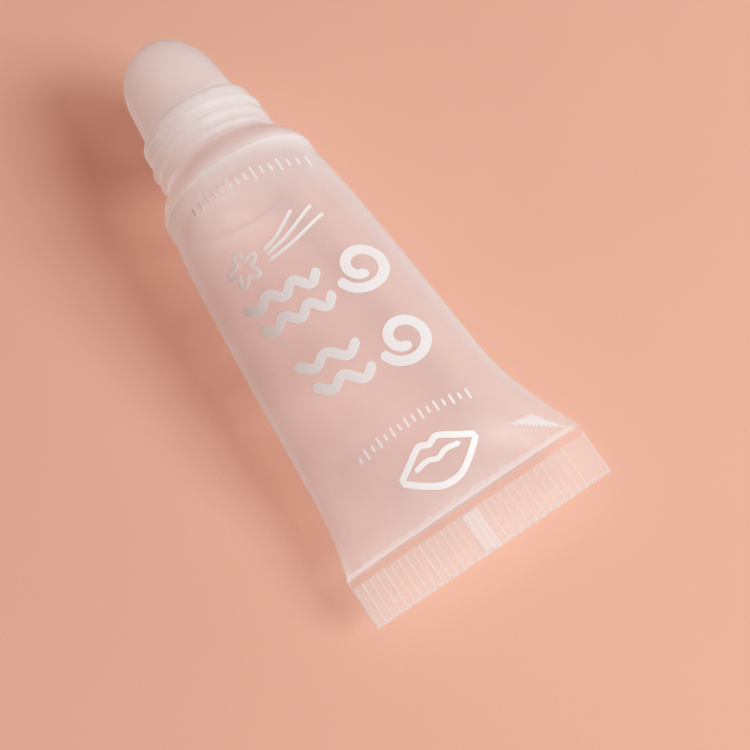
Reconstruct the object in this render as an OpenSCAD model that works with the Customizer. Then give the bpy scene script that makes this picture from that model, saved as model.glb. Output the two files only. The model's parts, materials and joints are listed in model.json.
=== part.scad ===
// Squeeze tube for lip gloss, uncapped, lying on its underside.
// +X runs along the tube towards the applicator, +Y across it, +Z up.
// The origin is on the resting surface, under the middle of the lying tube.

/* [Tube sleeve] */
// Outer diameter of the sleeve where it is still round
sleeve_d = 16; // [13:0.5:22]
// Wall thickness of the sleeve
sleeve_wall = 0.45; // [0.35:0.05:0.6]
// Length of the sleeve, from its cut tail to its front edge
sleeve_len = 42.4; // [35:0.1:70]

/* [Filled body] */
// How much each half width grows from the head to the seal, before the flare
body_spread = 2.7; // [1.5:0.1:3.2]
// How much each face of the body comes in, for each millimetre behind the head
body_taper = 0.0915; // [0.05:0.0005:0.11]
// Length over which the body closes down onto the flat seal
wedge_len = 11; // [8:0.5:14]
// Height profile of the wedge's corners: 1 is full, higher values hollow them
corner_hollow = 2.2; // [1.2:0.1:3]
// How far the flattened tail sits to one side of the tube's axis
tail_offset = 0.7; // [0:0.1:1.5]

/* [Sealed tail] */
// Length of the ribbed crimp at the very end
crimp_len = 4; // [3:0.1:7]
// Length of the smooth sealed band between the crimp and the body
seal_len = 1; // [0.6:0.1:3]
// Distance from one crimp rib to the next
rib_pitch = 0.76; // [0.6:0.02:1.2]
// Width of a rib at its foot
rib_w = 0.4; // [0.2:0.02:0.5]
// Height of a rib above the sealed wall
rib_h = 0.08; // [0.04:0.01:0.15]
// Number of ribs on the +Y side of the centre mark
ribs_left = 14; // [6:1:14]
// Number of ribs on the -Y side of the centre mark
ribs_right = 12; // [6:1:14]
// Width of the raised centre mark
mark_w = 1.6; // [1:0.1:3]
// Height of the centre mark above the sealed wall
mark_h = 0.12; // [0.05:0.01:0.2]

/* [Head] */
// Length of the skirt that is welded inside the sleeve
skirt_len = 1.5; // [1:0.1:4]
// Wall thickness of the head's skirt and shoulder
head_wall = 0.9; // [0.7:0.1:1.4]
// Height of the shoulder, from the sleeve's front edge to the foot of the neck
shoulder_h = 3.3; // [2:0.1:5]
// Radius of the shoulder's rounded outer corner
shoulder_round = 1.2; // [0.5:0.1:1.5]
// Diameter of the neck between its threads
neck_d = 11.8; // [9:0.1:12]
// Height of the neck, from its foot to its rim
neck_h = 5.2; // [4.5:0.1:8]
// Radius of the rim's rounded outer edge
rim_round = 0.3; // [0.1:0.05:0.4]
// Distance from one turn of the thread to the next
thread_pitch = 1.45; // [1.3:0.05:2]
// Height of the thread above the neck
thread_h = 0.35; // [0.2:0.05:0.6]
// Width of the thread at its foot
thread_w = 1; // [0.6:0.05:1.2]
// Plain neck between the rim and the middle of the first turn
thread_lead = 1.2; // [0.9:0.05:1.5]
// Number of turns of the thread
thread_turns = 2.75; // [1.5:0.25:3]

/* [Applicator tip] */
// Diameter of the applicator at the neck's rim
tip_d = 10.4; // [7.5:0.1:10.6]
// Diameter of the applicator at its rounded edge
tip_end_d = 9.5; // [7:0.1:9.8]
// Length of the applicator's long side, from the rim to its end
tip_len = 8; // [6.5:0.1:12]
// Slope of the applicator's slanted face, away from straight across
tip_slant = 33; // [20:1:40]
// Radius of the applicator's rounded edge
tip_round = 1.9; // [1:0.1:2.2]
// Diameter of the plug that presses into the neck
plug_d = 8.8; // [6:0.1:9]
// Length of the plug inside the neck
plug_len = 3.6; // [2.5:0.1:4.2]
// Wall thickness of the plug and of the applicator's sides
plug_wall = 1; // [0.8:0.1:1.3]
// Thickness of the applicator's end, along the middle of the outlet
outlet_len = 3.6; // [3:0.1:5]
// Diameter of the outlet hole
outlet_d = 2; // [1.2:0.1:2.4]

/* [Fits] */
// Radial gap of the weld between the sleeve and the head's skirt
weld_gap = 0.02; // [0.01:0.01:0.05]
// Radial gap of the plug's push fit in the neck
plug_gap = 0.02; // [0.01:0.01:0.05]
// Gap left between the gloss and the walls around it
fill_gap = 0.06; // [0.04:0.01:0.1]
// How much further the gloss stays out of the wedge's narrow corners
corner_gap = 0.4; // [0.3:0.05:0.6]

/* [Hidden] */

sleeve_r = sleeve_d / 2;
flat_w = PI * sleeve_r - sleeve_wall / 2;
wedge_x = crimp_len + seal_len;
belly_x = wedge_x + wedge_len;
round_x = sleeve_len - skirt_len;
body_len = round_x - wedge_x;
flare = flat_w / 2 - sleeve_r - body_spread;
spread_power = 0.71;
flare_power = 1.9;
wedge_power = 0.7;
crease_inside = 0.03;
cavity_start = 0.2;

skirt_r = sleeve_r - sleeve_wall - weld_gap;
neck_x = sleeve_len + shoulder_h;
rim_x = neck_x + neck_h;
neck_r = neck_d / 2;
bore_r = plug_d / 2 + plug_gap;
hollow_r = plug_d / 2 - plug_wall;
plug_x = rim_x - plug_len;
thread_sunk = 0.2;
thread_crest = 0.2;

// Centre of the shoulder's rounded corner, and the line from the foot of the neck that touches it
shoulder_corner = [sleeve_r - shoulder_round, sleeve_len + shoulder_round / 2];
neck_foot = [neck_r + thread_h / 2, neck_x];
shoulder_run = neck_foot - shoulder_corner;
shoulder_lean = atan2(shoulder_run.y, shoulder_run.x) - acos(shoulder_round / norm(shoulder_run));

// The applicator's rounded edge, its slanted face on the axis, and the end of its hollow
slope = tan(tip_slant);
edge_r = tip_end_d / 2;
edge_x = rim_x + tip_len - tip_round / cos(tip_slant) - (edge_r - tip_round) * slope;
face_x = edge_x + tip_round;
hollow_end = face_x - outlet_len;
edge_z = edge_r - tip_round + tip_round * sin(tip_slant);

// How the tube lies: its underside is a straight line, which rests on the surface
tilt = atan(body_taper);
lift = (sleeve_r - round_x * body_taper) * cos(tilt);
tail_back = -(sleeve_wall + mark_h) * sin(tilt);
tip_front = (rim_x + tip_len) * cos(tilt) - edge_z * sin(tilt);
middle_x = (tail_back + tip_front) / 2;

sides = 62;
fill_sides = 42;
wedge_steps = 14;
body_steps = 12;

// ---- section of the filled body at a distance x from the cut tail ----

// 0 at the start of the round end of the wedge, 1 at the seal
function closing(x) = min(1, max(0, (belly_x - x) / wedge_len));

function behind_head(x) = max(0, round_x - x);

function half_width(x) =
    sleeve_r + body_spread * pow(behind_head(x) / body_len, spread_power)
    + flare * pow(closing(x), flare_power);

function half_height(x) =
    let (full = sleeve_r - body_taper * behind_head(x), open = 1 - closing(x))
    sleeve_wall + (full - sleeve_wall) * sin(90 * pow(open, wedge_power));

function side_shift(x) = -tail_offset * pow(closing(x), 2) * (3 - 2 * closing(x));

function reverse(list) = [for (i = [len(list) - 1 : -1 : 0]) list[i]];

// One ring of points: blunt creases at both sides, hollow or full corners between
function ring(x, w, h, edge, power, shift, n) = [
    for (i = [0 : n - 1])
        let (a = (i + 0.5) * 360 / n)
        [x, shift + w * cos(a), sign(sin(a)) * (edge + (h - edge) * pow(abs(sin(a)), power))]
];

function body_ring(x, inset, n, narrower = 0) =
    let (c = closing(x), edge = inset > 0 ? crease_inside : max(crease_inside, sleeve_wall * pow(c, 3)))
    ring(x, half_width(x) - inset - narrower * c * c, half_height(x) - inset, edge,
         1 + (corner_hollow - 1) * c * c, side_shift(x), n);

function round_ring(x, r, n) = ring(x, r, r, 0, 1, 0, n);

function body_stations(first) = concat(
    [for (i = [0 : wedge_steps]) let (x = wedge_x + wedge_len * pow(i / wedge_steps, 1.4)) if (x > first) x],
    [for (i = [1 : body_steps]) belly_x + (round_x - belly_x) * i / body_steps]
);

// Joins rings of equally many points into one closed solid
module loft(rings) {
    n = len(rings[0]);
    last = (len(rings) - 1) * n;
    points = [for (r = rings) each r];
    skin = [
        for (k = [0 : len(rings) - 2], i = [0 : n - 1])
            let (a = k * n + i, b = k * n + (i + 1) % n)
            each [[b, a, a + n], [b, a + n, b + n]]
    ];
    tail_cap = [for (i = [0 : n - 1]) i];
    front_cap = [for (i = [n - 1 : -1 : 0]) last + i];
    polyhedron(points, concat([tail_cap], skin, [front_cap]), convexity = 8);
}

// Lays the tube down: its underside rests on the surface, its tail is in the middle of Y
module lying() {
    translate([-middle_x, tail_offset, lift]) rotate([0, -tilt, 0]) children();
}

// Turns a profile of [radius, distance along the tube] about the tube's axis
module turned() {
    rotate([0, 90, 0]) rotate_extrude($fn = 96) children();
}

// ---- sealed tail ----

// Foot and crest of one raised line on the crimp, seen from the tail
function ridge(y, w, h) = [
    [y - w / 2, sleeve_wall],
    [y - w / 4, sleeve_wall + h],
    [y + w / 4, sleeve_wall + h],
    [y + w / 2, sleeve_wall]
];

function ridges() = concat(
    [for (i = [ribs_right : -1 : 1]) each ridge(-mark_w / 2 - i * rib_pitch, rib_w, rib_h)],
    ridge(0, mark_w, mark_h),
    [for (i = [1 : ribs_left]) each ridge(mark_w / 2 + i * rib_pitch, rib_w, rib_h)]
);

// The crimp's upper side, from -Y to +Y
function upper_line() = concat([[-flat_w / 2, sleeve_wall]], ridges(), [[flat_w / 2, sleeve_wall]]);

function crimp_outline(x) =
    let (upper = upper_line(), lower = [for (p = reverse(upper)) [p.x, -p.y]])
    [for (p = concat(upper, lower)) [x, p.x - tail_offset, p.y]];

// ---- tube_sleeve ----

// One closed surface: the crimp's outline twice, then rings forwards along the outside
// and back again along the inside
module sleeve_surface() {
    outside = concat(
        [for (x = body_stations(wedge_x - 1)) body_ring(x, 0, sides)],
        [round_ring(sleeve_len, sleeve_r, sides)]
    );
    inside = concat(
        [round_ring(sleeve_len, sleeve_r - sleeve_wall, sides)],
        [for (x = reverse(body_stations(wedge_x + cavity_start))) body_ring(x, sleeve_wall, sides)]
    );
    rings = concat(outside, inside);
    count = 2 * len(upper_line());
    half = count / 2;
    base = 2 * count;
    last = base + (len(rings) - 1) * sides;
    // Points of the crimp's front outline that lie on the sealed wall: all but the crests
    feet = [for (i = [0 : half - 1]) if (i % 4 < 2) i];
    cut_end = [for (i = [0 : half - 2]) [i + 1, i, count - 1 - i, count - 2 - i]];
    crimp_sides = [for (i = [0 : count - 1]) let (j = (i + 1) % count) [i, j, count + j, count + i]];
    ridge_ends = [
        for (side = [0, half], i = [1 : 4 : half - 2])
            [for (k = [0 : 3]) count + side + i + k]
    ];
    // The smooth band: triangles between the feet and the half of the first ring beside them
    band = [
        for (side = [0, 1], j = [0 : len(feet) - 2])
            let (
                steps = (sides / 2 - 1) / (len(feet) - 1),
                foot = count + side * half + feet[j],
                next_foot = count + side * half + feet[j + 1],
                near = base + (side + 1) * sides / 2 - 1 - round(j * steps),
                far = base + (side + 1) * sides / 2 - 1 - round((j + 1) * steps)
            )
            each concat([[foot, next_foot, far]], far < near ? [[foot, far, near]] : [])
    ];
    band_ends = [
        [count + half - 1, count + half, base + sides - 1, base],
        [2 * count - 1, count, base + sides / 2 - 1, base + sides / 2]
    ];
    skin = [
        for (k = [0 : len(rings) - 2], i = [0 : sides - 1])
            let (a = base + k * sides + i, b = base + k * sides + (i + 1) % sides)
            each [[b, a, a + sides], [b, a + sides, b + sides]]
    ];
    cavity_end = [for (i = [0 : sides / 2 - 2]) [for (k = [i + 1, i, sides - 1 - i, sides - 2 - i]) last + k]];
    points = concat(crimp_outline(0), crimp_outline(crimp_len), [for (r = rings) each r]);
    polyhedron(
        points,
        concat(cut_end, crimp_sides, ridge_ends, band, band_ends, skin, cavity_end),
        convexity = 8
    );
}

module tube_sleeve() {
    color([0.93, 0.84, 0.82, 0.6]) lying() sleeve_surface();
}

// ---- threaded_head ----

module head_outline() {
    difference() {
        union() {
            translate([0, round_x]) square([skirt_r, skirt_len + shoulder_round]);
            translate([0, sleeve_len]) square([sleeve_r, shoulder_round / 2]);
            translate(shoulder_corner) intersection() {
                circle(shoulder_round, $fn = 64);
                translate([-shoulder_round, 0]) square(2 * shoulder_round);
            }
            polygon([
                [0, sleeve_len], [sleeve_r - shoulder_round, sleeve_len],
                shoulder_corner + shoulder_round * [cos(shoulder_lean), sin(shoulder_lean)],
                neck_foot, [0, neck_x]
            ]);
            translate([0, sleeve_len]) square([neck_r - rim_round, rim_x - sleeve_len]);
            translate([0, sleeve_len]) square([neck_r, rim_x - rim_round - sleeve_len]);
            translate([neck_r - rim_round, rim_x - rim_round]) circle(rim_round, $fn = 48);
        }
        head_hollow();
    }
}

// The way through the head: the skirt's inside, a cone, and the bore of the neck
module head_hollow() {
    polygon([
        [-1, round_x - 1], [skirt_r - head_wall, round_x - 1], [skirt_r - head_wall, sleeve_len],
        [bore_r, neck_x - head_wall], [bore_r, rim_x + 1], [-1, rim_x + 1]
    ]);
}

// Section of the thread after some turns: its flanks start under the neck's surface,
// and at both ends of the thread its crest sinks under it too
function thread_ring(turn) =
    let (
        angle = 360 * turn,
        rise = min(thread_h, 5 * thread_h * min(turn, thread_turns - turn) - thread_sunk / 2),
        x = rim_x - thread_lead - turn * thread_pitch,
        foot = thread_w / 2 + thread_sunk * (thread_w / 2 - thread_crest) / thread_h
    )
    [
        for (p = [[-thread_sunk, foot], [rise, thread_crest], [rise, -thread_crest], [-thread_sunk, -foot]])
            [x + p.y, (neck_r + p.x) * cos(angle), (neck_r + p.x) * sin(angle)]
    ];

module neck_thread() {
    steps = ceil(thread_turns * 32);
    loft([for (i = [0 : steps]) thread_ring(thread_turns * i / steps)]);
}

module threaded_head() {
    color([0.93, 0.89, 0.86, 0.9]) lying() {
        turned() head_outline();
        neck_thread();
    }
}

// ---- applicator_tip ----

// A ring across the applicator whose upper side leans forward
function tip_ring(x, r, lean) = [
    for (i = [0 : sides - 1])
        let (a = i * 360 / sides)
        [x + lean * r * sin(a), r * cos(a), r * sin(a)]
];

module tip_body() {
    side = [
        for (t = [0 : 0.25 : 1])
            tip_ring(rim_x + (edge_x - rim_x) * t, tip_d / 2 + (edge_r - tip_d / 2) * t, slope * t)
    ];
    edge = [
        for (a = [10 : 10 : 90])
            tip_ring(edge_x + tip_round * sin(a), edge_r - tip_round * (1 - cos(a)), slope)
    ];
    loft(concat(side, edge));
}

module applicator_tip() {
    color([0.9, 0.82, 0.8, 0.8]) lying() difference() {
        union() {
            tip_body();
            turned() translate([0, plug_x]) square([plug_d / 2, hollow_end - plug_x]);
        }
        turned() translate([0, plug_x - 1]) square([hollow_r, hollow_end - plug_x + 1]);
        turned() translate([0, rim_x]) square([outlet_d / 2, tip_len + 1]);
    }
}

// ---- gloss_fill ----

module gloss_fill() {
    in_sleeve = [for (x = body_stations(wedge_x + 2 * cavity_start))
        if (x < round_x - fill_gap) body_ring(x, sleeve_wall + fill_gap, fill_sides, corner_gap)];
    skirt_fill = skirt_r - head_wall - fill_gap;
    bore_fill = bore_r - fill_gap;
    hollow_fill = hollow_r - fill_gap;
    in_head = [
        for (p = [[round_x - fill_gap, sleeve_r - sleeve_wall - fill_gap], [round_x - fill_gap, skirt_fill],
                  [sleeve_len - fill_gap, skirt_fill], [neck_x - head_wall, bore_fill - fill_gap],
                  [plug_x - fill_gap, bore_fill - fill_gap],
                  [plug_x - fill_gap, hollow_fill], [hollow_end - fill_gap, hollow_fill]])
            round_ring(p.x, p.y, fill_sides)
    ];
    color([0.95, 0.75, 0.72, 0.5]) lying() loft(concat(in_sleeve, in_head));
}

tube_sleeve();
threaded_head();
applicator_tip();
gloss_fill();
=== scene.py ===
# %% [markdown]
# # A squeeze tube for lip gloss
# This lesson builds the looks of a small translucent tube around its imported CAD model. The tube is
# a thin polyethylene sleeve with a welded tail, a milky moulded head with a threaded neck, a soft
# applicator tip, the gloss inside and white print on its front. Each of them is a piece of its own.

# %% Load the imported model
import json
import math

import bmesh
import bpy
from mathutils import Matrix, Vector

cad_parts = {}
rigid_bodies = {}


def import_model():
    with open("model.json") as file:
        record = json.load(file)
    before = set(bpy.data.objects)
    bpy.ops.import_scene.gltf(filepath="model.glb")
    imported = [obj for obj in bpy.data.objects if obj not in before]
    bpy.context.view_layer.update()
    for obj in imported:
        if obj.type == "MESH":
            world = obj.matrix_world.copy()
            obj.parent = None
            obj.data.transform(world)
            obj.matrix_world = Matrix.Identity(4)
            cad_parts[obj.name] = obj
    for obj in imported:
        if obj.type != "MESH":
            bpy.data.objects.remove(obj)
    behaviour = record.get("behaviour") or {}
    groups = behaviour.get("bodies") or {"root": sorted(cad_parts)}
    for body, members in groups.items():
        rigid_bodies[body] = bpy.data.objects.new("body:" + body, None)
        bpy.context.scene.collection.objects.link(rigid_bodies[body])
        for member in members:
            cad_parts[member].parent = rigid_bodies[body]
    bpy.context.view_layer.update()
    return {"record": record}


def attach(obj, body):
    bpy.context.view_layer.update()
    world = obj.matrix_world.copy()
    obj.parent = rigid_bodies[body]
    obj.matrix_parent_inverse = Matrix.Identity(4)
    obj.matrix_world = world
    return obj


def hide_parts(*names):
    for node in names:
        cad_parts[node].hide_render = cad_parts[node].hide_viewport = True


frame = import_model()
MM = 0.001

# %% [markdown]
# ## Working along the tube
# The tube lies on its flat underside, so its axis rises a little towards the tip. Shapes are easier
# to write in the tube's own frame: millimetres, x from the cut tail along the axis, z up. The
# neck's mount in the record gives the axis, and one matrix then lays every finished mesh down.

# %% The tube's frame
NECK_MOUNT_X = 48.3
mount = next(m for m in frame["record"]["mounts"] if m["name"] == "neck_thread")
axis = Vector(mount["axis"]).normalized()
TILT = math.atan2(axis.z, axis.x)
TAIL = Vector(mount["pos_m"]) - axis * NECK_MOUNT_X * MM
LAY_DOWN = Matrix.Translation(TAIL) @ Matrix.Rotation(-TILT, 4, "Y") @ Matrix.Scale(MM, 4)
print("axis rises by", round(math.degrees(TILT), 2), "degrees")

# %% [markdown]
# ## The camera
# Something this small is best seen from close by with a long lens, so the far end looks only a
# little smaller. The camera looks down steeply from the tail's side and is rolled so that the tube
# runs from the top left to the bottom right. The roll is built from the view's own right and down
# directions, which is easier to check than three angles.

# %% Camera
LENS_MM = 96
CAMERA_AT = Vector((-38.4, -0.7, 173.5))
CAMERA_STEEPNESS = math.radians(66.27)
CAMERA_ROLL = math.radians(55.8)


def make_camera():
    aim = Vector((math.cos(CAMERA_STEEPNESS), 0, -math.sin(CAMERA_STEEPNESS)))
    ahead = Vector((math.sin(CAMERA_STEEPNESS), 0, math.cos(CAMERA_STEEPNESS)))
    sideways = Vector((0, -1, 0))
    right = sideways * math.sin(CAMERA_ROLL) - ahead * math.cos(CAMERA_ROLL)
    down = -ahead * math.sin(CAMERA_ROLL) - sideways * math.cos(CAMERA_ROLL)
    camera = bpy.data.objects.new("camera", bpy.data.cameras.new("camera"))
    camera.data.lens = LENS_MM
    camera.data.clip_start = 10 * MM
    turn = Matrix((right, -down, -aim)).transposed().to_4x4()
    camera.matrix_world = Matrix.Translation(LAY_DOWN @ CAMERA_AT) @ turn
    bpy.context.scene.collection.objects.link(camera)
    bpy.context.scene.camera = camera
    return camera


camera = make_camera()
print("camera distance, mm:", round(camera.location.length / MM))

# %% [markdown]
# ## The sleeve's sections
# The sleeve starts as a round pipe. Its tail is pressed flat and welded, so the section changes
# from a circle at the head to a flat band at the tail. It gets wider as it gets lower, because the
# film's length round the section stays the same. These few functions give the half width, the half
# height and the fullness of the corners at any distance from the tail.

# %% Sizes of the sleeve
SLEEVE_R = 8.0
WALL = 0.45
SLEEVE_END = 42.4
ROUND_X = 40.9
SEAL_X = 5.0
CRIMP_X = 4.0
BELLY_X = 16.0
WIDEN = 2.7
TAPER = 0.0915
CORNER_HOLLOW = 2.2
TAIL_OFFSET = 0.7
CREASE = 0.03
FLAT_HALF = (math.pi * SLEEVE_R - WALL / 2) / 2
FLARE = FLAT_HALF - SLEEVE_R - WIDEN
print("flat tail, mm:", round(2 * FLAT_HALF, 2))

# %% [markdown]
# Round the sleeve the film's length stays the same, so the width follows from how far the tail has
# closed at x. The powers set how early each change starts, and the tail sits a little to one side.

# %% Section at any distance from the tail
WIDEN_POWER = 0.71
FLARE_POWER = 1.9
CLOSE_POWER = 0.7


def closing(x):
    return min(1.0, max(0.0, (BELLY_X - x) / (BELLY_X - SEAL_X)))


def behind_head(x):
    return max(0.0, ROUND_X - max(x, SEAL_X))


def half_width(x):
    grown = WIDEN * (behind_head(x) / (ROUND_X - SEAL_X)) ** WIDEN_POWER
    return SLEEVE_R + grown + FLARE * closing(x) ** FLARE_POWER


def half_height(x):
    full = SLEEVE_R - TAPER * behind_head(x)
    return WALL + (full - WALL) * math.sin(math.pi / 2 * (1 - closing(x)) ** CLOSE_POWER)


def side_shift(x):
    c = closing(x)
    return -TAIL_OFFSET * c * c * (3 - 2 * c)


def section_height(x, across, inset=0.0):
    c = closing(x)
    edge = max(CREASE, WALL * c ** 3) if inset == 0 else CREASE
    power = 1 + (CORNER_HOLLOW - 1) * c * c
    full = max(0.0, 1 - across * across) ** (power / 2)
    return edge + (half_height(x) - inset - edge) * full


for x in (SEAL_X, 10, BELLY_X, 30):
    print("at", x, "mm: half width", round(half_width(x), 2), "half height", round(half_height(x), 2))

# %% [markdown]
# ## What the welding jaws leave behind
# The jaws press fine ribs and one wide mark into the crimp. In front of them is a smooth band,
# and then a bead where the molten film was squeezed forwards, with a wavy front. The film
# is stiff, so where the flat tail opens into the round body it buckles: one corner has a flat
# triangular facet, and the broad faces are very slightly wavy. All of it is added to the height.

# %% Ribs of the crimp
RIB_PITCH = 0.76
RIB_HEIGHT = 0.08
RIB_STEEP = 0.1
RIB_LONG = 0.17
RIBS_LEFT = 14
RIBS_RIGHT = 12
MARK_HALF = 0.8
MARK_HEIGHT = 0.12
MARK_SLOPE = 0.12
GROOVES = ((0.28, 0.14, 0.05), (-0.3, 0.12, 0.035))


def bump(distance, reach):
    """A soft bump, 1 in its middle and 0 from reach on."""
    share = min(1.0, abs(distance) / reach)
    return (1 - share * share) ** 2


def ease(value):
    value = min(1.0, max(0.0, value))
    return value * value * (3 - 2 * value)


def rib_height(y):
    """Ribs of the crimp at y from the tail's middle: steep on one flank, long on the other."""
    if abs(y) < MARK_HALF + MARK_SLOPE:
        side = ease((MARK_HALF + MARK_SLOPE / 2 - abs(y)) / MARK_SLOPE)
        groove = sum(depth * bump(y - at, reach) for at, reach, depth in GROOVES)
        return side * (MARK_HEIGHT - groove)
    count = (abs(y) - MARK_HALF) / RIB_PITCH
    number = round(count)
    if number < 1 or number > (RIBS_LEFT if y > 0 else RIBS_RIGHT):
        return 0.0
    off = (count - number) * RIB_PITCH * (1 if y > 0 else -1)
    strength = 0.75 + 0.25 * math.sin(2.3 * number + (1.1 if y > 0 else 0.2))
    return RIB_HEIGHT * strength * bump(off, RIB_STEEP if off > 0 else RIB_LONG)


print("crimp ribs:", RIBS_LEFT, "and", RIBS_RIGHT)

# %% [markdown]
# The bead starts just in front of the smooth band and is as high as a hair is thick. Its front is
# wavy, because the molten film ran out between the jaws unevenly, so two sine waves shape it.

# %% Weld bead
BEAD_BACK = 4.95
BEAD_FRONT = 5.45
BEAD_SLOPE = 0.22
BEAD_HEIGHT = 0.05


def bead_front(y):
    return BEAD_FRONT + 0.09 * math.sin(5.1 * y) * math.sin(1.3 * y + 1) + 0.06 * math.sin(2.2 * y)


def bead_height(x, y):
    back = ease((x - BEAD_BACK) / 0.15)
    front = ease((bead_front(y) - x) / BEAD_SLOPE + 0.5)
    return BEAD_HEIGHT * back * front


print("bead, mm:", round(BEAD_FRONT - BEAD_BACK, 2), "long,", BEAD_HEIGHT, "high")

# %% [markdown]
# The facet is a flat triangle, given by its three corners seen from above. A plane through the
# three points of the skin lifts everything between them, and the edges are eased a little, as
# a fold in thick film is never quite sharp.

# %% Buckles and the skin's height
BUCKLE_HEIGHT = 0.045
FACET = [(4.95, -12.7), (8.5, -7.4), (8.1, -10.3)]
FACET_EDGE = 7
facet_area = ((FACET[1][0] - FACET[0][0]) * (FACET[2][1] - FACET[0][1])
              - (FACET[2][0] - FACET[0][0]) * (FACET[1][1] - FACET[0][1]))


def buckling(x, y):
    """Slow waves of the stiff film, none at the tail and at the head."""
    reach = ease((x - 6) / 6) * ease((39 - x) / 8)
    slow = math.sin(0.31 * x + 0.22 * y + 0.6) + 0.6 * math.sin(0.17 * x - 0.5 * y + 2.0)
    return BUCKLE_HEIGHT * reach * slow


def facet_shares(x, y):
    """Shares of the facet's second and third corner at a point; all are over 0 inside it."""
    a, b, c = FACET
    u = ((x - a[0]) * (c[1] - a[1]) - (c[0] - a[0]) * (y - a[1])) / facet_area
    v = ((b[0] - a[0]) * (y - a[1]) - (x - a[0]) * (b[1] - a[1])) / facet_area
    return u, v, min(u, v, 1 - u - v)


def facet_lift(x, y, z):
    """How far the flat facet of the corner stands above the skin."""
    u, v, inside = facet_shares(x, y)
    if inside <= 0:
        return 0.0
    heights = [section_height(px, (py - side_shift(px)) / half_width(px)) for px, py in FACET]
    plane = heights[0] + u * (heights[1] - heights[0]) + v * (heights[2] - heights[0])
    return max(0.0, plane - z) * ease(inside * FACET_EDGE)


def edge_fade(across):
    """0 at the two edges of the section, 1 a little further in."""
    return ease((1 - abs(across)) * 12)


def skin_height(x, y, top=True):
    """Height of the outside above the middle plane, at y from the tube's axis."""
    across = max(-1.0, min(1.0, (y - side_shift(x)) / half_width(x)))
    z = section_height(x, across)
    from_middle = y - side_shift(x)
    fade = edge_fade(across)
    if x < CRIMP_X + 0.12:
        z += rib_height(from_middle) * ease((CRIMP_X + 0.1 - x) / 0.2)
    elif x < 6.2:
        z += bead_height(x, from_middle) * fade
    if top:
        z += buckling(x, y) * fade + facet_lift(x, y, z)
    return z


print("facet, mm2:", round(abs(facet_area) / 2, 1))

# %% [markdown]
# ## Rolling a grid into a shell
# The sleeve could be lofted from separate rings, or made by subdividing a coarse cage. A flat grid
# that is rolled up is simpler: create_grid gives clean rows and columns, each point moves to its
# place on the section, and the two edges that meet are merged. Columns are spread evenly across the
# flat tail, where the ribs need them, and evenly round the circle at the head.

# %% Rolled shells
def around(x, number, columns):
    """Share across the section, from 1 to -1, and the side: 1 on top and -1 underneath."""
    half = columns // 2
    on_top = number < half
    step = number if on_top else columns - 1 - number
    t = (step + 0.5) / half
    flat = (1 - 2 * t) / (1 - 1 / half)
    round_share = math.cos(math.pi * t)
    c = closing(x) ** 1.5
    return flat * c + round_share * (1 - c), 1 if on_top else -1


def rolled(bm, rows, columns, place):
    """A grid of rows along the tube and columns round it, moved to place(row, column)."""
    grid = bmesh.ops.create_grid(bm, x_segments=len(rows) - 1, y_segments=columns, size=0.5)
    for point in grid["verts"]:
        row = round((point.co.x + 0.5) * (len(rows) - 1))
        column = round((point.co.y + 0.5) * columns) % columns
        point.co = place(rows[row], column)
    bmesh.ops.remove_doubles(bm, verts=grid["verts"], dist=1e-6)


def rim(bm, x):
    """Open edges at x from the tail."""
    return [e for e in bm.edges if e.is_boundary and all(abs(v.co.x - x) < 1e-4 for v in e.verts)]


def spread(start, end, count, power=1.0):
    """Rows from start up to but without end, closer together at the start for powers over 1."""
    return [start + (end - start) * (i / count) ** power for i in range(count)]


def close_edges(bm, edges):
    lid = bmesh.ops.contextual_create(bm, geom=edges)["faces"]
    bmesh.ops.triangulate(bm, faces=lid)


def close_end(bm, x):
    """Fills the open end at x and cuts its face into triangles."""
    close_edges(bm, rim(bm, x))


# %% [markdown]
# ## Finished pieces
# Every piece ends the same way: doubles merged, faces turned outwards, the mesh laid down by the
# matrix, smooth shading with sharp edges kept, and the piece tied to the one rigid body.

# %% Finishing a piece
def finish_piece(bm, name, replaces=None, sharp_angle=40):
    bmesh.ops.remove_doubles(bm, verts=bm.verts[:], dist=1e-5)
    bmesh.ops.recalc_face_normals(bm, faces=bm.faces[:])
    bm.transform(LAY_DOWN)
    open_edges = sum(1 for e in bm.edges if not e.is_manifold)
    mesh = bpy.data.meshes.new(name)
    triangles = sum(len(f.verts) - 2 for f in bm.faces)
    bm.to_mesh(mesh)
    bm.free()
    mesh.shade_smooth()
    mesh.set_sharp_from_angle(angle=math.radians(sharp_angle))
    piece = bpy.data.objects.new(name, mesh)
    bpy.context.scene.collection.objects.link(piece)
    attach(piece, "root")
    if replaces:
        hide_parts(replaces)
    print(name, "triangles:", triangles, "open edges:", open_edges)
    return piece


# %% [markdown]
# ## The sleeve
# The real sleeve is one extruded film, 0.45 mm thick. Its outside and its inside are two rolled
# grids. The two front rims are bridged, the cut tail and the end of the cavity are closed, and the
# result is one closed wall. Every point also keeps a number called milk, which says how much
# the film scatters there: molten and stretched places turn whitish, the band stays clear.
# The milk also paints a highlight onto the corner facet, where the flat facet would reflect the
# light.

# %% Outside and inside of the sleeve
OUTER_COLUMNS = 720
EDGE_ROUND = 0.22


def outer_place(x, column):
    across, side = around(x, column, OUTER_COLUMNS)
    y = side_shift(x) + half_width(x) * across
    z = skin_height(x, y, side > 0)
    past = (abs(across) - 1) * half_width(x) + EDGE_ROUND
    if past > 0:
        z *= 1 - 0.5 * closing(x) ** 3 * (past / EDGE_ROUND) ** 2
    if x < CRIMP_X and column % 2:
        x += 0.04 * bump(x, 0.3) * math.sin(1.7 * column)
    return Vector((x, y, side * z))


def inner_place(x, column):
    across, side = around(x, column, OUTER_COLUMNS)
    y = side_shift(x) + (half_width(x) - WALL) * across
    z = section_height(x, across, WALL)
    if side > 0:
        z += buckling(x, y) * edge_fade(across) + 0.8 * facet_lift(x, y, z + WALL)
    return Vector((x, y, side * z))


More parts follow.
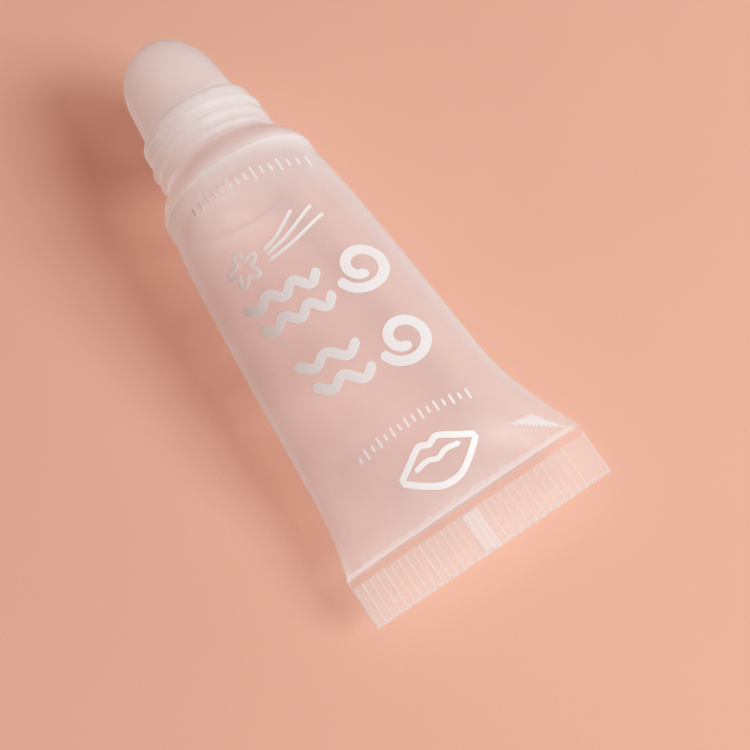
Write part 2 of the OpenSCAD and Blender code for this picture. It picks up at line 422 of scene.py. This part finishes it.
print("points round the sleeve:", OUTER_COLUMNS, "and across its flat tail:", OUTER_COLUMNS // 2)

# %% [markdown]
# The milk could be painted by hand, or come from a pattern in the material. Here it follows the
# relief itself, so a whitened rib is always exactly where the rib is.

# %% How milky the film is
FILM_MILK = 0.29
CRIMP_MILK = 0.27
MARK_MILK = 0.5
BAND_MILK = 0.09
BEAD_MILK = 0.17
# Extra milk on the corner facet is a painted highlight, not whitening of the film.
FACET_PAINTED_HIGHLIGHT = 0.75
INNER_MILK = 0.06


def milk_at(point):
    """Share of light that the outside scatters where it is looked at straight on."""
    x, y = point.x, point.y - side_shift(point.x)
    milk = FILM_MILK + 0.06 * ease((x - 33) / 8)
    if x < CRIMP_X + 0.1:
        milk = CRIMP_MILK + 0.15 * bump(x, 0.2) + 0.1 * bump(x - CRIMP_X, 0.12)
        milk += 2.6 * rib_height(y) if abs(y) > MARK_HALF + 0.1 else 0.0
        if abs(y) < MARK_HALF + 0.06:
            lines = sum(bump(y - at, reach) for at, reach, depth in GROOVES)
            milk = MARK_MILK + 0.14 * lines
    elif x < 6.4:
        milk -= (FILM_MILK - BAND_MILK) * ease((SEAL_X - x) / 0.1)
        back = ease((x - BEAD_BACK + 0.02) / 0.12)
        milk += BEAD_MILK * back * ease((bead_front(y) - x) / BEAD_SLOPE + 0.6)
    corner = abs(y) / half_width(x)
    milk += 0.15 * closing(x) ** 4 * ease((corner - 0.985) / 0.015)
    # Painted highlight: the corner facet is whitened where it would reflect the light.
    if point.z > 0:
        milk += FACET_PAINTED_HIGHLIGHT * ease(facet_shares(x, point.y)[2] * 6)
    return min(1.0, milk)


def add_milk(bm, share):
    """Stores share(point) on the points that have no milk yet."""
    milk = bm.verts.layers.float.get("milk") or bm.verts.layers.float.new("milk")
    for point in bm.verts:
        if not point[milk]:
            point[milk] = share(point.co)


print("milk of the film, band, mark:", FILM_MILK, BAND_MILK, MARK_MILK)

# %% [markdown]
# Rows stand close together where the relief is fine, at the cut, the crimp's front, the bead and
# the facet, and far apart along the plain body. That keeps the whole wall under 200,000 triangles.

# %% Sleeve
CAVITY_X = 5.25


def make_sleeve():
    bm = bmesh.new()
    crimp = [0.0, 0.06, 0.16, 0.3, 0.6, 1.2, 2.0, 2.8, 3.4, 3.7, 3.86, 3.94, 4.0, 4.06, 4.14]
    rows = crimp + spread(4.3, 4.9, 3) + spread(4.9, 6.1, 18) + spread(6.1, 11, 26)
    rows += spread(11, 16, 9) + spread(16, ROUND_X, 14)
    rows += [ROUND_X, ROUND_X + 0.3, ROUND_X + 0.8, SLEEVE_END - 0.2, SLEEVE_END - 0.04, SLEEVE_END]
    rolled(bm, rows, OUTER_COLUMNS, outer_place)
    add_milk(bm, milk_at)
    inner_rows = spread(CAVITY_X, 11, 14, 1.3) + spread(11, 16, 5) + spread(16, ROUND_X, 7)
    inner_rows += [ROUND_X, SLEEVE_END]
    rolled(bm, inner_rows, OUTER_COLUMNS, inner_place)
    add_milk(bm, lambda co: INNER_MILK)
    bmesh.ops.bridge_loops(bm, edges=rim(bm, SLEEVE_END))
    cut = [e for e in bm.edges if e.is_boundary and e.verts[0].co.x < 1]
    close_edges(bm, cut)
    close_end(bm, CAVITY_X)
    return finish_piece(bm, "sleeve_film", "tube_sleeve")


sleeve = make_sleeve()

# %% [markdown]
# ## The gloss
# The gloss fills everything inside: the body, the neck's bore and the hollow applicator. Its shape
# is the cavity's, a little smaller, so it is rolled in the same way, and its front rows follow the
# steps inside the head. Being smooth, it shows no facets through the film.

# %% Gloss
GLOSS_GAP = WALL + 0.06
GLOSS_COLUMNS = 192
GLOSS_START = 5.45
GLOSS_ROUND_X = 40.84
GLOSS_MILK = 0.008
GLOSS_FRONT = [
    (GLOSS_ROUND_X, 6.57), (42.34, 6.57), (44.8, 4.3), (47.24, 4.3), (47.24, 3.34), (53.02, 3.34),
]


def gloss_place(row, column):
    x, radius = row
    if radius:
        turn = 2 * math.pi * (column + 0.5) / GLOSS_COLUMNS
        return Vector((x, radius * math.cos(turn), radius * math.sin(turn)))
    across, side = around(x, column, GLOSS_COLUMNS)
    y = side_shift(x) + (half_width(x) - GLOSS_GAP) * across
    z = section_height(x, across, GLOSS_GAP)
    if side > 0:
        z += buckling(x, y) * edge_fade(across)
    return Vector((x, y, side * z))


def make_gloss():
    bm = bmesh.new()
    body = spread(GLOSS_START, 11, 16, 1.3) + spread(11, 16, 8)
    body += spread(16, GLOSS_ROUND_X, 12) + [GLOSS_ROUND_X]
    rows = [(x, 0) for x in body] + GLOSS_FRONT
    rolled(bm, rows, GLOSS_COLUMNS, gloss_place)
    close_end(bm, GLOSS_START)
    close_end(bm, GLOSS_FRONT[-1][0])
    add_milk(bm, lambda co: GLOSS_MILK)
    return finish_piece(bm, "gloss", "gloss_fill", 30)


gloss = make_gloss()

# %% [markdown]
# ## Turned parts
# The head and the applicator are turned shapes. Each starts as a few corners of half its section.
# They are made one flat face, its corners are rounded with bevel, as a mould maker would round them,
# and then the outline is spun round the tube's axis. That keeps every corner's size readable.

# %% Spinning a section
SPIN_STEPS = 256


def section_outline(bm, corners):
    """Corners are (x, radius, rounding, segments). Returns the edges of the rounded outline."""
    points = [bm.verts.new((x, radius, 0)) for x, radius, rounding, segments in corners]
    bm.faces.new(points)
    for point, (x, radius, rounding, segments) in zip(points, corners):
        if rounding:
            bmesh.ops.bevel(bm, geom=[point], offset=rounding, offset_type="OFFSET",
                            segments=segments, profile=0.5, affect="VERTICES", material=-1)
    bmesh.ops.delete(bm, geom=bm.faces[:], context="FACES_ONLY")
    return bm.edges[:]


def cut_edges(bm, cuts, chosen):
    edges = [e for e in bm.edges if chosen(*(v.co for v in e.verts))]
    bmesh.ops.subdivide_edges(bm, edges=edges, cuts=cuts)


def spin_outline(bm):
    bmesh.ops.spin(bm, geom=bm.verts[:] + bm.edges[:], cent=(0, 0, 0), axis=(1, 0, 0),
                   angle=2 * math.pi, steps=SPIN_STEPS, use_merge=True)


print("steps of a full turn:", SPIN_STEPS)

# %% [markdown]
# ## The threaded head
# The head is moulded from a milkier plastic. Its skirt is welded inside the sleeve, its
# shoulder narrows to the neck, and a single thread winds round the neck. The thread is not a piece
# of its own: the neck gets many fine rings, and the points near the helix are pushed outwards by
# a rounded bump that fades in and out at its two ends, like a thread cut in a mould.

# %% Thread
RIM_X = 50.9
THREAD_PITCH = 1.45
THREAD_H = 0.35
THREAD_HALF = 0.6
THREAD_LEAD = 1.2
THREAD_TURNS = 2.75


def thread_rise(x, turn_share):
    rise = 0.0
    for whole in range(4):
        turns = whole + turn_share
        if turns > THREAD_TURNS:
            break
        off = x - (RIM_X - THREAD_LEAD - turns * THREAD_PITCH)
        fade = ease(7 * min(turns, THREAD_TURNS - turns))
        flat = min(1.0, 1.1 * bump(off, THREAD_HALF))
        rise = max(rise, THREAD_H * fade * flat)
    return rise


print("thread, mm:", THREAD_PITCH, "pitch,", THREAD_H, "high,", THREAD_TURNS, "turns")

# %% [markdown]
# The head's section below goes round the wall once: up the skirt, over the shoulder and the neck
# to the rim, and back down the bore. Each corner names its own rounding and number of segments.

# %% Head
SKIRT_R = 7.53
SKIRT_BORE_R = 6.63
NECK_R = 5.9
NECK_FOOT_X = 45.7
BORE_R = 4.42
BORE_END_X = 44.8
HEAD_CORNERS = [
    (ROUND_X, SKIRT_BORE_R, 0.1, 2), (ROUND_X, SKIRT_R, 0.15, 3),
    (SLEEVE_END, SKIRT_R, 0, 0), (SLEEVE_END, SLEEVE_R, 0.04, 2),
    (43.25, SLEEVE_R, 0.9, 10), (44.6, 7.0, 0.9, 6), (NECK_FOOT_X, NECK_R, 0.45, 8),
    (RIM_X, NECK_R, 0.28, 6), (RIM_X, BORE_R, 0.12, 3),
    (BORE_END_X, BORE_R, 0.2, 3), (SLEEVE_END, SKIRT_BORE_R, 0.3, 3),
]


def head_milk(co):
    """The outside is milky; the way through the head adds little, or its steps would show."""
    inside = BORE_R + 0.25 + 0.92 * max(0.0, BORE_END_X - co.x)
    if co.yz.length < inside:
        return 0.02
    return 0.32 + 0.5 * ease((co.x - 42.0) / 0.9)


def make_head():
    bm = bmesh.new()
    section_outline(bm, HEAD_CORNERS)
    cut_edges(bm, 80, lambda a, b: min(a.y, b.y) > NECK_R - 0.01 and abs(a.x - b.x) > 3)
    spin_outline(bm)
    for point in bm.verts:
        radius = point.co.yz.length
        if abs(radius - NECK_R) < 0.005 and NECK_FOOT_X + 0.3 < point.co.x < RIM_X - 0.2:
            turn_share = (math.atan2(point.co.z, point.co.y) / (2 * math.pi)) % 1.0
            scale = 1 + thread_rise(point.co.x, turn_share) / radius
            point.co.y *= scale
            point.co.z *= scale
    add_milk(bm, head_milk)
    return finish_piece(bm, "neck_and_shoulder", "threaded_head", 50)


head = make_head()

# %% [markdown]
# ## The applicator
# The applicator is a soft, hollow insert. Its plug presses into the neck, its face slants so that
# the upper side is the longer one, and the outlet is in the middle of that face. It is spun
# straight first and then sheared: the further forward a point is, the more it leans.

# %% Applicator
TIP_R = 5.2
TIP_EDGE_R = 4.75
TIP_EDGE_X = 54.78
TIP_ROUND = 1.9
TIP_LEAN = math.tan(math.radians(33))
HOLLOW_R = 3.4
HOLLOW_END = 53.08
OUTLET_R = 1.0
PLUG_R = 4.4
PLUG_X = 47.3
TIP_FACE_X = TIP_EDGE_X + TIP_ROUND
TIP_CORNERS = [
    (PLUG_X, HOLLOW_R, 0.15, 3), (PLUG_X, PLUG_R, 0.25, 4), (RIM_X, PLUG_R, 0, 0),
    (RIM_X, TIP_R, 0.08, 3),
    (TIP_FACE_X, TIP_EDGE_R - 0.16, TIP_ROUND, 16), (TIP_FACE_X, OUTLET_R, 0.3, 6),
    (HOLLOW_END, OUTLET_R, 0.15, 3), (HOLLOW_END, HOLLOW_R, 0.4, 4),
]


def tip_milk(co):
    outside = co.yz.length > HOLLOW_R + 0.3 or co.x > TIP_EDGE_X
    return 0.62 if outside else 0.04


def make_tip():
    bm = bmesh.new()
    section_outline(bm, TIP_CORNERS)
    cut_edges(bm, 10, lambda a, b: min(a.y, b.y) > PLUG_R + 0.01 and abs(a.x - b.x) > 2)
    cut_edges(bm, 6, lambda a, b: min(a.x, b.x) > TIP_FACE_X - 0.1 and abs(a.y - b.y) > 1)
    spin_outline(bm)
    for point in bm.verts:
        inside = point.co.yz.length < HOLLOW_R + 0.01 and point.co.x < HOLLOW_END + 0.2
        if not inside:
            share = (point.co.x - RIM_X) / (TIP_EDGE_X - RIM_X)
            point.co.x += TIP_LEAN * min(1.0, max(0.0, share)) * point.co.z
    add_milk(bm, tip_milk)
    return finish_piece(bm, "applicator", "applicator_tip", 50)


tip = make_tip()

# %% [markdown]
# ## The print
# The front is screen-printed with thick white ink. The pattern here is a generic one: rows of short
# ticks, a flower with three trailing strokes, bold swirls and waves, and a lips outline. Every
# stroke is a flat grid strip that follows its path, with rounded ends. The strip is laid on the skin
# and given a thickness of a few hundredths of a millimetre, so the ink stands proud of the film.

# %% Smooth paths
INK_STEP = 0.16
CURVE_CUTS = 24


def smooth_path(points, closed=False):
    """A smooth curve through the points, with points about INK_STEP apart."""
    count = len(points)
    spans = count if closed else count - 1
    fine = []
    for i in range(spans):
        near = [points[(i + k) % count] if closed else points[min(max(i + k, 0), count - 1)]
                for k in (-1, 0, 1, 2)]
        a, b, c, d = [Vector(p) for p in near]
        for k in range(CURVE_CUTS):
            t = k / CURVE_CUTS
            fine.append(0.5 * (2 * b + (c - a) * t + (2 * a - 5 * b + 4 * c - d) * t * t
                               + (3 * b - a - 3 * c + d) * t ** 3))
    fine.append(Vector(points[0] if closed else points[-1]))
    lengths = [0.0]
    for p, q in zip(fine, fine[1:]):
        lengths.append(lengths[-1] + (q - p).length)
    steps = max(8, round(lengths[-1] / INK_STEP))
    path = []
    at = 0
    for i in range(steps + 1):
        want = lengths[-1] * i / steps
        while at < len(lengths) - 2 and lengths[at + 1] < want:
            at += 1
        gap = max(1e-9, lengths[at + 1] - lengths[at])
        path.append(fine[at].lerp(fine[at + 1], (want - lengths[at]) / gap))
    return path, lengths[-1]


print("ink points, mm apart:", INK_STEP)

# %% [markdown]
# A stroke could be a curve object with a bevel, but a strip of grid keeps even faces, and its points
# can be dropped onto the skin one by one. solidify then gives it its thickness.

# %% Strokes of ink
INK_THICK = 0.035


def stroke(bm, points, width, closed=False):
    """One stroke of ink through (x, y) points, on the sleeve's upper side."""
    path, length = smooth_path(points, closed)
    last = len(path) - 1
    grid = bmesh.ops.create_grid(bm, x_segments=last, y_segments=4, size=0.5)
    for point in grid["verts"]:
        i = round((point.co.x + 0.5) * last)
        before = path[(i - 1) % last] if closed else path[max(i - 1, 0)]
        after = path[(i + 1) % last] if closed else path[min(i + 1, last)]
        along = (after - before).normalized()
        half = width / 2
        spot = path[i]
        if not closed:
            end = length * min(i, last - i) / last
            half *= math.sqrt(max(0.0004, 1 - max(0.0, 1 - 2 * end / width) ** 2))
        off = point.co.y * 2 * half
        point.co = Vector((spot.x - along.y * off, spot.y + along.x * off, 0))
    bmesh.ops.remove_doubles(bm, verts=grid["verts"], dist=1e-4)


def finish_ink(bm, name):
    """Lays flat strokes on the skin and gives them their thickness."""
    for point in bm.verts:
        point.co.z = skin_height(point.co.x, point.co.y) + INK_THICK
    bmesh.ops.recalc_face_normals(bm, faces=bm.faces[:])
    for face in bm.faces:
        if face.normal.z < 0:
            face.normal_flip()
    bmesh.ops.solidify(bm, geom=bm.faces[:], thickness=INK_THICK + 0.01)
    return finish_piece(bm, name)


def ticks(bm, start, end, bend, count, lengths, width):
    """A row of short strokes along the tube, between two points, bent towards the head."""
    a, b = Vector(start), Vector(end)
    for i in range(count):
        t = i / (count - 1)
        middle = a.lerp(b, t) + Vector((bend * 4 * t * (1 - t), 0))
        half = lengths[i % len(lengths)] / 2
        stroke(bm, [middle - Vector((half, 0)), middle + Vector((half, 0))], width)


print("ink, mm thick:", INK_THICK)

# %% [markdown]
# The shapes are written as short rules: a swirl is an angle that turns while the radius grows,
# a wave is a cosine across a straight line, the flower a radius that swings five times, and
# the lips are three curves through a few points.

# %% Swirls, waves, flower and lips
def swirl(bm, centre, radius, width):
    turns = []
    for i in range(15):
        angle = math.radians(200 - 33 * i)
        reach = radius * (0.3 + 0.7 * i / 14)
        turns.append((centre[0] + reach * math.cos(angle), centre[1] + reach * math.sin(angle)))
    stroke(bm, turns, width)


def waves(bm, start, end, height, count, width):
    """A long wavy line, as of water, that gets calmer towards its end."""
    a, b = Vector(start), Vector(end)
    crest = []
    for i in range(8 * count + 1):
        t = i / (8 * count)
        swing = height * (1 - 0.3 * t) * math.cos(2 * math.pi * count * t)
        crest.append(a.lerp(b, t) + Vector((swing, 0)))
    stroke(bm, crest, width)


def flower(bm, centre, radius, width):
    petals = []
    for i in range(40):
        angle = 2 * math.pi * i / 40
        reach = radius * (0.72 + 0.28 * math.cos(5 * angle))
        petals.append((centre[0] + reach * math.cos(angle), centre[1] + reach * math.sin(angle)))
    stroke(bm, petals, width, closed=True)


def lips(bm, centre, size, width):
    x, y = centre
    upper = [(0.0, -1.0), (0.2, -0.62), (0.4, -0.24), (0.33, 0.0), (0.4, 0.24), (0.2, 0.62),
             (0.0, 1.0)]
    lower = [(0.0, 1.0), (-0.27, 0.66), (-0.48, 0.3), (-0.53, 0.0), (-0.48, -0.3), (-0.27, -0.66),
             (0.0, -1.0)]
    middle = [(0.02, -0.6), (0.07, -0.25), (0.0, 0.0), (0.07, 0.25), (0.02, 0.6)]
    for shape, thick in ((upper, width), (lower, width), (middle, 0.8 * width)):
        stroke(bm, [(x + size * a, y + size * b) for a, b in shape], thick)


print("shapes ready:", [f.__name__ for f in (ticks, swirl, waves, flower, lips)])

# %% [markdown]
# Places are in the tube's frame, x from the tail and y across. Bold shapes fill the middle, fine
# ones sit near the head, and a row of ticks closes each end, as small print would.

# %% The whole print
BOLD = 0.95
BROAD = 0.9
FINE = 0.32


def print_front():
    bm = bmesh.new()
    swirl(bm, (27.2, -5.2), 2.5, BOLD)
    waves(bm, (25.6, -1.9), (27.0, 5.7), 0.55, 3, BROAD)
    waves(bm, (28.2, -1.9), (29.5, 6.0), 0.55, 3, BROAD)
    swirl(bm, (19.4, -4.7), 2.5, BOLD)
    waves(bm, (18.1, -1.3), (19.7, 4.6), 0.55, 2, BROAD)
    waves(bm, (20.7, -1.3), (22.2, 5.0), 0.55, 2, BROAD)
    finish_ink(bm, "print_swirls")
    bm = bmesh.new()
    flower(bm, (32.8, 3.75), 1.65, 0.34)
    stroke(bm, [(33.0, 1.35), (33.5, -0.5), (34.9, -2.85)], FINE)
    stroke(bm, [(32.5, 1.3), (33.0, -1.3), (34.5, -4.6)], FINE)
    stroke(bm, [(31.9, 1.4), (32.2, -1.6), (33.3, -5.1)], FINE)
    finish_ink(bm, "print_flower")
    bm = bmesh.new()
    ticks(bm, (39.0, -6.7), (40.2, 4.6), 0.2, 15, (1.5, 0.9, 0.9), 0.2)
    ticks(bm, (12.1, -6.6), (12.3, 4.6), 0.5, 16, (1.1, 0.7), 0.2)
    finish_ink(bm, "print_ticks")
    bm = bmesh.new()
    lips(bm, (8.8, -1.2), 4.0, 0.55)
    finish_ink(bm, "print_lips")


print_front()

# %% [markdown]
# ## Film that lets light through
# Thin polyethylene lets most light straight through and scatters the rest, and more of it where one
# looks along the film, because the way through it gets longer. A refracting glass shader would
# bend whatever lies behind it, which a film doesn't do. So the film is a mix of a transparent
# shader and a milky one. The share of milk grows as the view gets flatter, and a thin
# glossy coat is added over both, so that highlights stay bright where the film is nearly clear.

# %% Node helpers
def new_material(name):
    material = bpy.data.materials.new(name)
    material.use_nodes = True
    material.node_tree.nodes.clear()
    return material


def node(material, kind, **settings):
    made = material.node_tree.nodes.new(kind)
    for name, value in settings.items():
        setattr(made, name, value)
    return made


def link(material, start, end):
    material.node_tree.links.new(start, end)


def calc(material, operation, first, second=None):
    """A Math node whose inputs are numbers or other nodes' outputs."""
    made = node(material, "ShaderNodeMath", operation=operation)
    for slot, value in enumerate((first, second)):
        if value is None:
            continue
        if isinstance(value, (int, float)):
            made.inputs[slot].default_value = value
        else:
            link(material, value, made.inputs[slot])
    return made.outputs[0]


print("node helpers ready")

# %% [markdown]
# Patterns on this tube must lie along it, not along the room. So the object coordinates are turned
# by the tube's tilt and counted in millimetres. A stretch under 1 draws a pattern out lengthwise.

# %% Patterns and mixes
def tube_coordinates(material, stretch=(1, 1, 1)):
    """Object coordinates turned into the tube's own frame, in millimetres."""
    where = node(material, "ShaderNodeTexCoord")
    place = node(material, "ShaderNodeMapping")
    back = LAY_DOWN.inverted()
    place.inputs["Location"].default_value = [back.translation[i] * stretch[i] for i in range(3)]
    place.inputs["Rotation"].default_value = (0, TILT, 0)
    place.inputs["Scale"].default_value = [s / MM for s in stretch]
    link(material, where.outputs["Object"], place.inputs["Vector"])
    return place.outputs["Vector"]


def noise(material, vector, scale, detail=3.0, roughness=0.5):
    made = node(material, "ShaderNodeTexNoise")
    made.inputs["Scale"].default_value = scale
    made.inputs["Detail"].default_value = detail
    made.inputs["Roughness"].default_value = roughness
    link(material, vector, made.inputs["Vector"])
    return made.outputs["Fac"]


def blend_shaders(material, share, first, second):
    mix = node(material, "ShaderNodeMixShader")
    if isinstance(share, (int, float)):
        mix.inputs[0].default_value = share
    else:
        link(material, share, mix.inputs[0])
    link(material, first, mix.inputs[1])
    link(material, second, mix.inputs[2])
    return mix.outputs[0]


def bumps(material, height, distance):
    made = node(material, "ShaderNodeBump")
    made.inputs["Distance"].default_value = distance
    link(material, height, made.inputs["Height"])
    return made.outputs["Normal"]


def output(material, shader):
    out = node(material, "ShaderNodeOutputMaterial")
    link(material, shader, out.inputs["Surface"])
    return material


print("tube lies at", [round(v / MM, 2) for v in TAIL], "mm, tilted", round(TILT, 4))

# %% [markdown]
# One function makes all the see-through plastics. The milk gets a faint cloudiness and is less for
# the light on its way to a shadow, because milky plastic scatters mostly forwards. Grain and long
# ripples from the extruder's die go into the normal, and the shine grows towards the rims.

# %% Translucent plastic
FORWARD_SCATTER = 0.65
FLATTEST_VIEW = 0.15
RELIEF = 0.00004


def translucent_plastic(name, color, through, roughness, coat, sheer=(1, 1, 1), deep=0.0):
    """A milky plastic. The milk attribute is the share scattered straight on, through is the share
    of that which goes on forwards, and deep is how far light spreads inside, in metres."""
    m = new_material(name)
    where = tube_coordinates(m)
    milk = node(m, "ShaderNodeAttribute", attribute_name="milk").outputs["Fac"]
    outside = calc(m, "MINIMUM", calc(m, "MULTIPLY", milk, 5.0), 1.0)
    cloud = calc(m, "ADD", calc(m, "MULTIPLY", noise(m, where, 0.25, 3.0), 0.4), 0.8)
    milk = calc(m, "MULTIPLY", milk, cloud)
    forwards = node(m, "ShaderNodeLightPath").outputs["Is Shadow Ray"]
    kept = calc(m, "SUBTRACT", 1.0, calc(m, "MULTIPLY", forwards, FORWARD_SCATTER))
    milk = calc(m, "MULTIPLY", milk, kept)
    facing = node(m, "ShaderNodeLayerWeight").outputs["Facing"]
    straight = calc(m, "MAXIMUM", calc(m, "SUBTRACT", 1.0, facing), FLATTEST_VIEW)
    clear = calc(m, "POWER", calc(m, "SUBTRACT", 1.0, milk), calc(m, "DIVIDE", 1.0, straight))
    share = calc(m, "SUBTRACT", 1.0, clear)
    grain = noise(m, where, 9.0, 2.0)
    ripple = noise(m, tube_coordinates(m, (0.12, 1.0, 1.0)), 1.1, 2.0)
    normal = bumps(m, calc(m, "ADD", calc(m, "MULTIPLY", grain, 0.12), ripple), RELIEF)
    plastic = node(m, "ShaderNodeBsdfPrincipled")
    plastic.inputs["Base Color"].default_value = (*color, 1)
    plastic.inputs["Roughness"].default_value = 0.5
    plastic.inputs["Specular IOR Level"].default_value = 0.0
    if deep:
        plastic.inputs["Subsurface Weight"].default_value = 1.0
        plastic.inputs["Subsurface Radius"].default_value = (1.0, 0.8, 0.7)
        plastic.inputs["Subsurface Scale"].default_value = deep
    link(m, normal, plastic.inputs["Normal"])
    behind = node(m, "ShaderNodeBsdfTranslucent")
    behind.inputs["Color"].default_value = (*color, 1)
    milky = blend_shaders(m, through, plastic.outputs[0], behind.outputs[0])
    sheer_node = node(m, "ShaderNodeBsdfTransparent")
    sheer_node.inputs["Color"].default_value = (*sheer, 1)
    body = blend_shaders(m, share, sheer_node.outputs[0], milky)
    if not coat:
        return output(m, body)
    glossy = node(m, "ShaderNodeBsdfGlossy")
    glossy.inputs["Roughness"].default_value = roughness
    link(m, normal, glossy.inputs["Normal"])
    shine = calc(m, "ADD", calc(m, "MULTIPLY", calc(m, "POWER", facing, 4.0), 0.4), coat)
    shine = calc(m, "MULTIPLY", shine, outside)
    return output(m, blend_shaders(m, shine, body, glossy.outputs[0]))


# %% [markdown]
# ## The finishes
# The sleeve is nearly clear, and its milk attribute whitens the bead, the ribs, the mark and the
# edges. The head is a milkier plastic with thick walls, the applicator lies between the two, and
# the gloss is clear with a little pink.

# %% Materials
film = translucent_plastic("frosted_film", (0.91, 0.94, 0.965), 0.5, 0.28, 0.008)
milky = translucent_plastic("milky_plastic", (0.96, 0.97, 0.97), 0.6, 0.36, 0.012, deep=0.01)
soft = translucent_plastic("soft_plastic", (0.91, 0.92, 0.94), 0.6, 0.42, 0.012, deep=0.01)
syrup = translucent_plastic("pink_gloss", (0.95, 0.8, 0.8), 0.5, 0.15, 0.0, (0.975, 0.94, 0.94))
sleeve.data.materials.append(film)
head.data.materials.append(milky)
tip.data.materials.append(soft)
gloss.data.materials.append(syrup)
print("plastics:", [m.name for m in (film, milky, soft, syrup)])

# %% [markdown]
# Ink a few hundredths of a millimetre thick isn't quite opaque: some of the light that comes up
# through the tube shows in it, so a translucent share is mixed in. A fine grain dulls its shine.

# %% Ink
INK_THROUGH = 0.3


def make_ink():
    m = new_material("white_ink")
    where = tube_coordinates(m)
    ink = node(m, "ShaderNodeBsdfPrincipled")
    ink.inputs["Base Color"].default_value = (0.88, 0.86, 0.86, 1)
    ink.inputs["Roughness"].default_value = 0.45
    ink.inputs["Specular IOR Level"].default_value = 0.4
    link(m, bumps(m, noise(m, where, 14.0, 3.0), 0.000015), ink.inputs["Normal"])
    glow = node(m, "ShaderNodeBsdfTranslucent")
    glow.inputs["Color"].default_value = (0.9, 0.88, 0.9, 1)
    return output(m, blend_shaders(m, INK_THROUGH, ink.outputs[0], glow.outputs[0]))


ink_material = make_ink()
for piece in [o for o in bpy.data.objects if o.name.startswith("print_")]:
    piece.data.materials.append(ink_material)
    print("printed:", piece.name)

# %% [markdown]
# ## Floor
# The tube lies on plain peach card. One flat colour would look empty, so the card gets a very
# faint, slow change of tint and a fine tooth in its normal, as uncoated paper has.

# %% Floor
FLOOR_COLOR = (0.80, 0.455, 0.345)


def make_floor():
    bm = bmesh.new()
    bmesh.ops.create_grid(bm, x_segments=8, y_segments=8, size=1.5)
    mesh = bpy.data.meshes.new("card")
    bm.to_mesh(mesh)
    bm.free()
    floor = bpy.data.objects.new("card", mesh)
    bpy.context.scene.collection.objects.link(floor)
    m = new_material("peach_card")
    card = node(m, "ShaderNodeBsdfPrincipled")
    card.inputs["Roughness"].default_value = 0.75
    card.inputs["Specular IOR Level"].default_value = 0.2
    where = node(m, "ShaderNodeTexCoord")
    tint = node(m, "ShaderNodeMixRGB")
    tint.inputs[1].default_value = (*[c * 0.97 for c in FLOOR_COLOR], 1)
    tint.inputs[2].default_value = (*[min(1, c * 1.03) for c in FLOOR_COLOR], 1)
    link(m, noise(m, where.outputs["Object"], 60.0, 4.0), tint.inputs[0])
    link(m, tint.outputs[0], card.inputs["Base Color"])
    fine = noise(m, where.outputs["Object"], 2500.0, 3.0)
    link(m, bumps(m, fine, 0.00001), card.inputs["Normal"])
    mesh.materials.append(output(m, card.outputs[0]))


make_floor()
print("card colour:", FLOOR_COLOR)

# %% [markdown]
# ## Light
# One large soft light stands at the tail's right side, and the rest of the room gives a warm, even
# fill. The light stands fairly near, so the card gets a little darker towards the applicator.
# View transform Standard keeps pale colours as they are, and light may pass many thin walls.

# %% Lights
KEY_FROM = Vector((-0.62, -0.52, 0.60)).normalized()
KEY_DISTANCE = 0.65
KEY_SIZE = 0.27
KEY_WATTS = 5.4
KEY_COLOR = (0.80, 0.97, 1.0)
FILL_COLOR = (0.35, 0.16, 0.105)


def make_lights():
    key = bpy.data.lights.new("key", "AREA")
    key.shape = "DISK"
    key.size = KEY_SIZE
    key.energy = KEY_WATTS
    key.color = KEY_COLOR
    lamp = bpy.data.objects.new("key", key)
    lamp.location = KEY_FROM * KEY_DISTANCE
    lamp.rotation_euler = KEY_FROM.to_track_quat("Z", "Y").to_euler()
    bpy.context.scene.collection.objects.link(lamp)
    world = bpy.data.worlds.new("room")
    bpy.context.scene.world = world
    world.use_nodes = True
    background = world.node_tree.nodes["Background"]
    background.inputs["Color"].default_value = (*FILL_COLOR, 1)
    background.inputs["Strength"].default_value = 1.0


make_lights()
bpy.context.scene.view_settings.view_transform = "Standard"
bpy.context.scene.cycles.transparent_max_bounces = 32
print("light, mm away:", round(KEY_DISTANCE / MM), "and across:", round(KEY_SIZE / MM))
